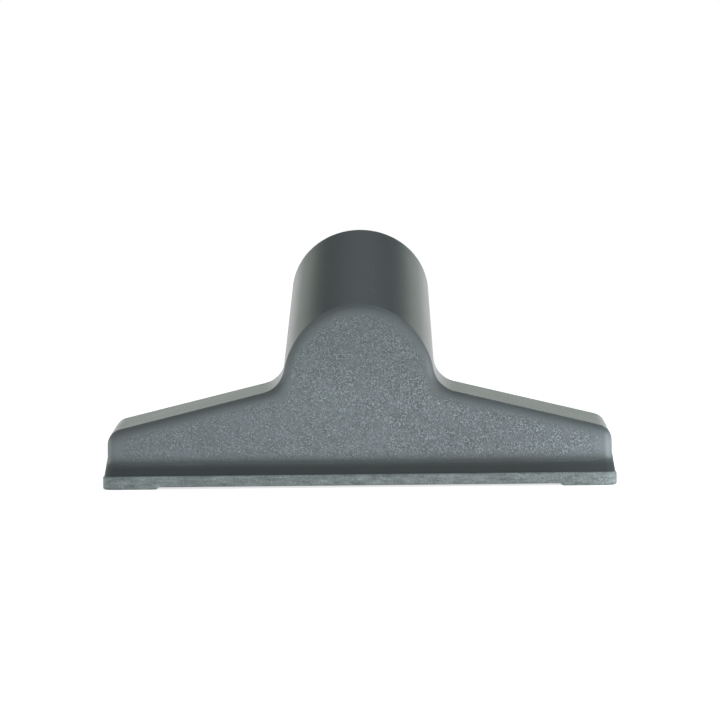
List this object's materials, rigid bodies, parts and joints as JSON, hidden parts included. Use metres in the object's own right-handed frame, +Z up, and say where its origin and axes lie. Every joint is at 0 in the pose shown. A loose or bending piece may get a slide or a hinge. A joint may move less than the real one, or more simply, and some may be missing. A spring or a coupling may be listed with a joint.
{
  "type": "vacuum upholstery nozzle",
  "caption": "Wide flat-mouthed suction nozzle with a flared hollow housing and a slanted round wand socket, for cleaning upholstery.",
  "frame": {"origin": "middle of the suction mouth, in the plane that the mouth rests on", "axes": "+X along the mouth, +Y towards the wand side, +Z up from the rest plane"},
  "size_m": [0.1288, 0.0701, 0.0637],
  "materials": {
    "body_plastic": "dark grey moulded plastic, smooth satin tube and edges, fine even grain on the front panel"
  },
  "bodies": {
    "root": {"nozzle_body": "body_plastic"}
  },
  "joints": []
}
